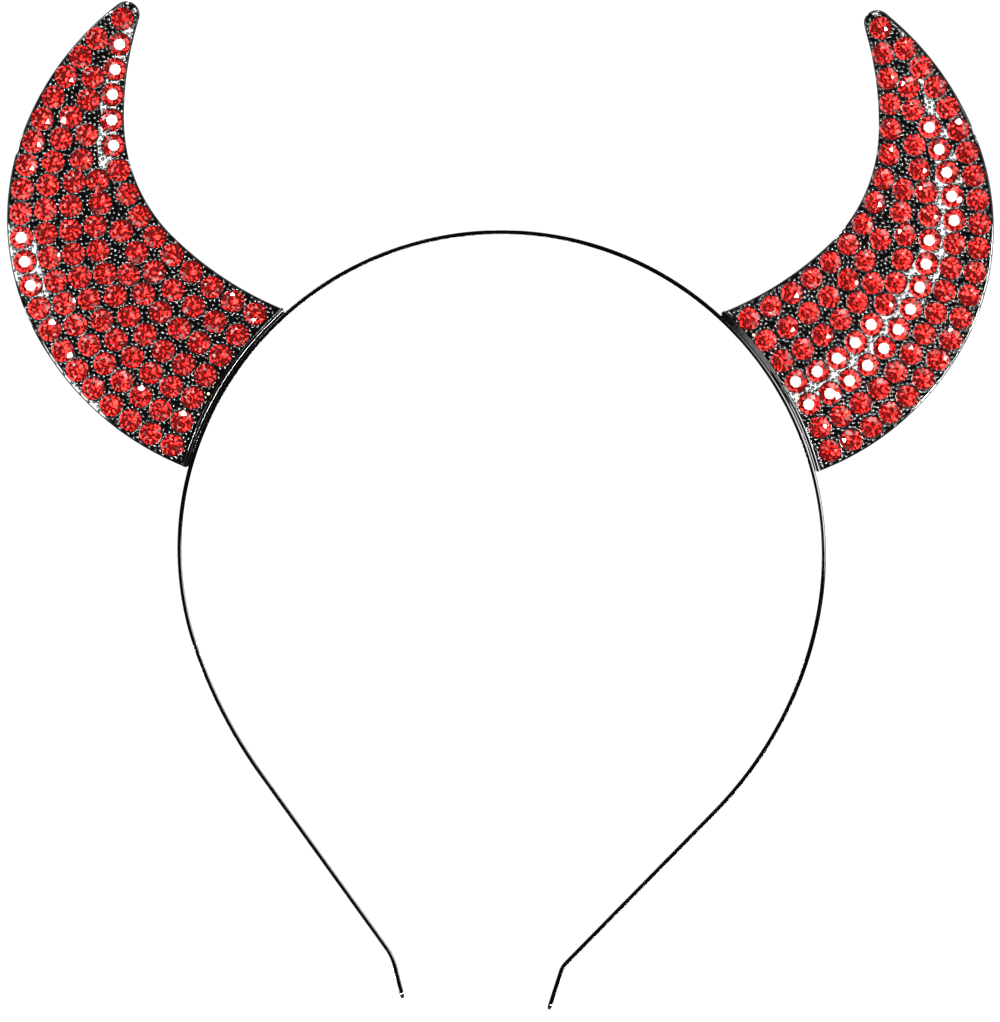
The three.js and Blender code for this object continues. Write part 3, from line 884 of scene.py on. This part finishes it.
for horn in HORNS:
    name, node_name = horn["name"], "horn_" + horn["name"]
    matrix = horn_matrix(horn)
    metal = [
        mesh_object("casting_" + name, *plate_mesh, matrix, [PLATE_LACQUER]),
        mesh_object("foot_" + name, *foot_mesh, foot_matrix(horn), [PLATE_LACQUER]),
        mesh_object("solder_" + name, *solder_mesh, foot_matrix(horn), [PLATE_LACQUER]),
        grown("seat_lips_" + name, points_object("lips", stones, LIP_RISE, matrix), lip_tree),
        grown("bead_prongs_" + name,
              points_object("beads", beads, BEAD_RISE, matrix, nearest_beads(horn["worn"])),
              bead_tree),
    ]
    for piece in metal:
        dressed(piece, node_name)
    stone_points = points_object("stones", stones, GIRDLE_HEIGHT, matrix)
    dressed(grown("stones_" + name, stone_points, stone_tree), node_name)

for pattern in (stone_pattern, bead_pattern):
    bpy.data.objects.remove(pattern)


# Floor, lights and camera

FLOOR_RADIUS = 4000
FLOOR_DROP = 0.02  # keeps the floor off the strip's lower edge
FLOOR_SIDES = 64

# Soft boxes high over the part, which the tables of whole groups of stones mirror, in metres:
# name, middle, size and turn
TABLE_BOXES = (
    ("table_box_left", (-0.816, -0.045, 2.606), (0.537, 0.2), -0.01),
    ("table_box_middle", (0.38, 0.1, 2.921), (0.252, 0.29), 1.44),
    ("table_box_right", (-0.702, -0.517, 2.118), (0.212, 0.552), -0.73),
)
TABLE_BOX_RADIANCE = 30

# Soft boxes round the part, aimed at it: name, compass way, tilt off the vertical, size in
# metres, and radiance. The first two are the main lights, and the small ones put sharp glints
# on the beads and on the sloping facets.
GLINT_BOX = (0.1, 0.06)
SKY_BOXES = (
    ("bright_box_right", 296, 22, (0.9, 0.14), 320),
    ("bright_box_left", 120, 23, (0.4, 0.08), 150),
    ("glint_box_1", 90, 52, GLINT_BOX, 900),
    ("glint_box_2", 200, 60, GLINT_BOX, 900),
    ("glint_box_3", 320, 52, GLINT_BOX, 900),
    ("glint_box_4", 20, 62, GLINT_BOX, 900),
    ("glint_box_5", 160, 55, GLINT_BOX, 900),
)
SKY_RADIUS = 1.5

# The studio round the part. The stones' foils mirror the walls' bright and dark patches, the
# flat black plates the dark ceiling, and a low view sees the white skirt behind the part.
WALL_DARK, WALL_BRIGHT, CEILING, HORIZON, SKIRT = 0.1, 26.0, 0.1, 0.08, 1.1
RIGHT_HORN_SEES = (-0.384, -0.231, 0.894)  # the way that its leaning plate mirrors the camera
PATCH_SCALE = 8.0  # of the patches, on a sky of radius one
PATCH_SPAN = (0.4, 0.75)  # of the noise, from a dark patch to a bright one
PATCH_CONTRAST = 2.5
# Heights on that sky between which each stretch gives way to the next one up
SKIRT_SPAN = (0.03, 0.1)
HORIZON_SPAN = (0.5, 0.72)
CEILING_SPAN = (0.92, 0.96)

FRAME_HEIGHT = 1022  # of the picture, its longer side, in pixels
PIXELS_PER_MM = 5.17
PICTURE_MIDDLE = (-0.163, -1.017)  # where the middle of the picture lies
CAMERA_HEIGHT = 8  # metres
SENSOR = 36

floor = mesh_object(
    "floor", [(FLOOR_RADIUS * math.cos(a), FLOOR_RADIUS * math.sin(a), -FLOOR_DROP)
              for a in np.linspace(0, math.tau, FLOOR_SIDES + 1)[:-1]],
    [tuple(range(FLOOR_SIDES))], finishes=[PALE_FLOOR])


def soft_box(name, middle, size, rotation, radiance):
    """A lamp that faces down its own -Z. Its power follows from its size and its radiance."""
    data = bpy.data.lights.new(name, "AREA")
    data.shape = "RECTANGLE"
    data.size, data.size_y = size
    data.energy = radiance * math.pi * size[0] * size[1]
    made = bpy.data.objects.new(name, data)
    made.location = middle
    made.rotation_euler = rotation
    made.visible_camera = False
    bpy.context.scene.collection.objects.link(made)


for name, middle, size, turn in TABLE_BOXES:
    soft_box(name, middle, size, (0, 0, turn), TABLE_BOX_RADIANCE)

for name, way, tilt, size, radiance in SKY_BOXES:
    way, tilt = math.radians(way), math.radians(tilt)
    middle = SKY_RADIUS * Vector((
        math.cos(way) * math.sin(tilt), math.sin(way) * math.sin(tilt), math.cos(tilt)))
    soft_box(name, middle, size, (-middle).to_track_quat("-Z", "Y").to_euler(), radiance)


def studio(tree):
    """Patched walls under a dark ceiling, over a dark horizon and a white skirt."""
    way = node(tree, "ShaderNodeTexCoord").outputs["Generated"]
    parts = node(tree, "ShaderNodeSeparateXYZ", {0: way})
    patches = node(tree, "ShaderNodeTexNoise", {
        "Vector": way, "Scale": PATCH_SCALE, "Detail": 1.0})
    share = node(tree, "ShaderNodeMapRange", {
        "Value": patches.outputs[0], "From Min": PATCH_SPAN[0], "From Max": PATCH_SPAN[1],
        "To Min": 0.0, "To Max": 1.0})
    steep = node(tree, "ShaderNodeMath", {0: share.outputs[0], 1: PATCH_CONTRAST},
                 operation="POWER")
    walls = node(tree, "ShaderNodeMapRange", {
        "Value": steep.outputs[0], "From Min": 0.0, "From Max": 1.0, "To Min": WALL_DARK,
        "To Max": WALL_BRIGHT})
    beside = node(tree, "ShaderNodeVectorMath", {0: way, 1: RIGHT_HORN_SEES},
                  operation="DOT_PRODUCT")
    above = node(tree, "ShaderNodeMath", {0: parts.outputs[2], 1: beside.outputs[1]},
                 operation="MAXIMUM")
    ceiling = node(tree, "ShaderNodeMapRange", {
        "Value": above.outputs[0], "From Min": CEILING_SPAN[0], "From Max": CEILING_SPAN[1],
        "To Min": 0.0, "To Max": 1.0}, interpolation_type="SMOOTHSTEP")
    roofed = node(tree, "ShaderNodeMix", {0: ceiling.outputs[0], 2: walls.outputs[0], 3: CEILING})
    horizon = node(tree, "ShaderNodeMapRange", {
        "Value": parts.outputs[2], "From Min": HORIZON_SPAN[0], "From Max": HORIZON_SPAN[1],
        "To Min": 0.0, "To Max": 1.0})
    ringed = node(tree, "ShaderNodeMix", {0: horizon.outputs[0], 2: HORIZON, 3: roofed.outputs[0]})
    skirt = node(tree, "ShaderNodeMapRange", {
        "Value": parts.outputs[2], "From Min": SKIRT_SPAN[0], "From Max": SKIRT_SPAN[1],
        "To Min": 0.0, "To Max": 1.0})
    whole = node(tree, "ShaderNodeMix", {0: skirt.outputs[0], 2: SKIRT, 3: ringed.outputs[0]})
    return node(tree, "ShaderNodeBackground", {"Strength": whole.outputs[0]}).outputs[0]


world = bpy.data.worlds.new("studio")
bpy.context.scene.world = world
world.use_nodes = True
world.node_tree.nodes.clear()
node(world.node_tree, "ShaderNodeOutputWorld", {"Surface": studio(world.node_tree)})

camera_data = bpy.data.cameras.new("camera")
camera_data.sensor_width = SENSOR
camera_data.lens = SENSOR * CAMERA_HEIGHT / (FRAME_HEIGHT / PIXELS_PER_MM * MM)
camera_data.clip_end = 2 * CAMERA_HEIGHT
camera = bpy.data.objects.new("camera", camera_data)
camera.location = (PICTURE_MIDDLE[0] * MM, PICTURE_MIDDLE[1] * MM, CAMERA_HEIGHT)
bpy.context.scene.collection.objects.link(camera)
bpy.context.scene.camera = camera
bpy.context.scene.view_settings.view_transform = "Standard"
